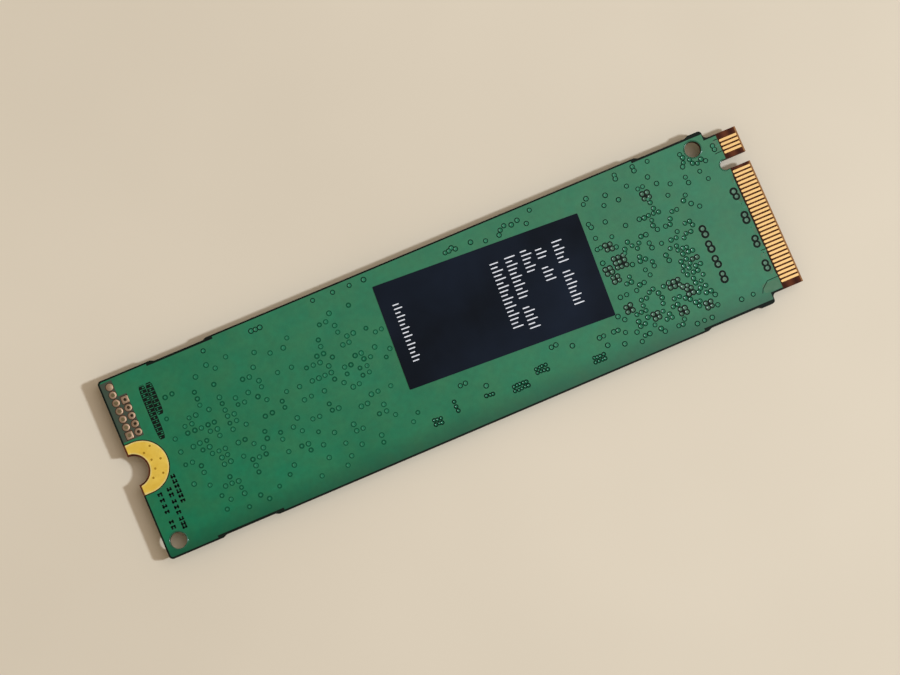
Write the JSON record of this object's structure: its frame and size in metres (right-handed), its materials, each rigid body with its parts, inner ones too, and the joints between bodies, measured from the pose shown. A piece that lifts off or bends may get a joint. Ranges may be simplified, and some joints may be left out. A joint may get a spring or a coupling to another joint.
{
  "type": "m.2 2280 solid-state drive",
  "caption": "Bare M.2 2280 solid-state drive with an M key, lying component side down: green board with label, screw pad, service header and gold card-edge contacts.",
  "frame": {"origin": "middle of the board, on the plane of the tall packages' tops that it rests on", "axes": "+X along the board to the card-edge contacts, +Y across it to the side with the key slot, +Z out of the plain back with the label"},
  "size_m": [0.08, 0.022, 0.0022],
  "materials": {
    "laminate": "glass-epoxy laminate with routed edges",
    "solder_mask": "green solder mask, semi-gloss",
    "gold_plate": "gold-plated copper, satin",
    "tin_plate": "tin-plated metal, satin",
    "label_film": "black printed film, satin",
    "package_substrate": "green package substrate, satin",
    "mould_compound": "black moulding compound, matt",
    "solder": "reflowed solder, bright",
    "ferrite": "pressed ferrite powder, matt",
    "crystal_ceramic": "fired ceramic tray, matt",
    "crystal_lid_metal": "seam-welded lid, satin",
    "capacitor_ceramic": "tan fired ceramic, satin",
    "resistor_ceramic": "black glaze on ceramic",
    "fuse_ceramic": "pale fired ceramic, matt"
  },
  "bodies": {
    "root": {"bulk_capacitor_bodies": "capacitor_ceramic", "bulk_capacitor_caps": "tin_plate", "circuit_board": "laminate", "contacts_back": "gold_plate", "contacts_front": "gold_plate", "controller_balls": "solder", "controller_mould": "mould_compound", "controller_substrate": "package_substrate", "coupling_capacitor_bodies": "capacitor_ceramic", "coupling_capacitor_caps": "tin_plate", "crystal_base": "crystal_ceramic", "crystal_lid": "crystal_lid_metal", "decoupling_capacitor_bodies": "capacitor_ceramic", "decoupling_capacitor_caps": "tin_plate", "dram_balls": "solder", "dram_mould": "mould_compound", "dram_substrate": "package_substrate", "flash_1_balls": "solder", "flash_1_mould": "mould_compound", "flash_1_substrate": "package_substrate", "flash_2_balls": "solder", "flash_2_mould": "mould_compound", "flash_2_substrate": "package_substrate", "header_eyelets": "tin_plate", "inductor_bodies": "ferrite", "inductor_feet": "tin_plate", "input_fuse_bodies": "fuse_ceramic", "input_fuse_caps": "tin_plate", "label": "label_film", "load_switch_body": "mould_compound", "load_switch_leads": "tin_plate", "power_manager_body": "mould_compound", "power_manager_leads": "tin_plate", "resistor_bodies": "resistor_ceramic", "resistor_caps": "tin_plate", "screw_pad_back": "gold_plate", "screw_pad_front": "gold_plate", "solder_mask_back": "solder_mask", "solder_mask_front": "solder_mask"}
  },
  "joints": []
}
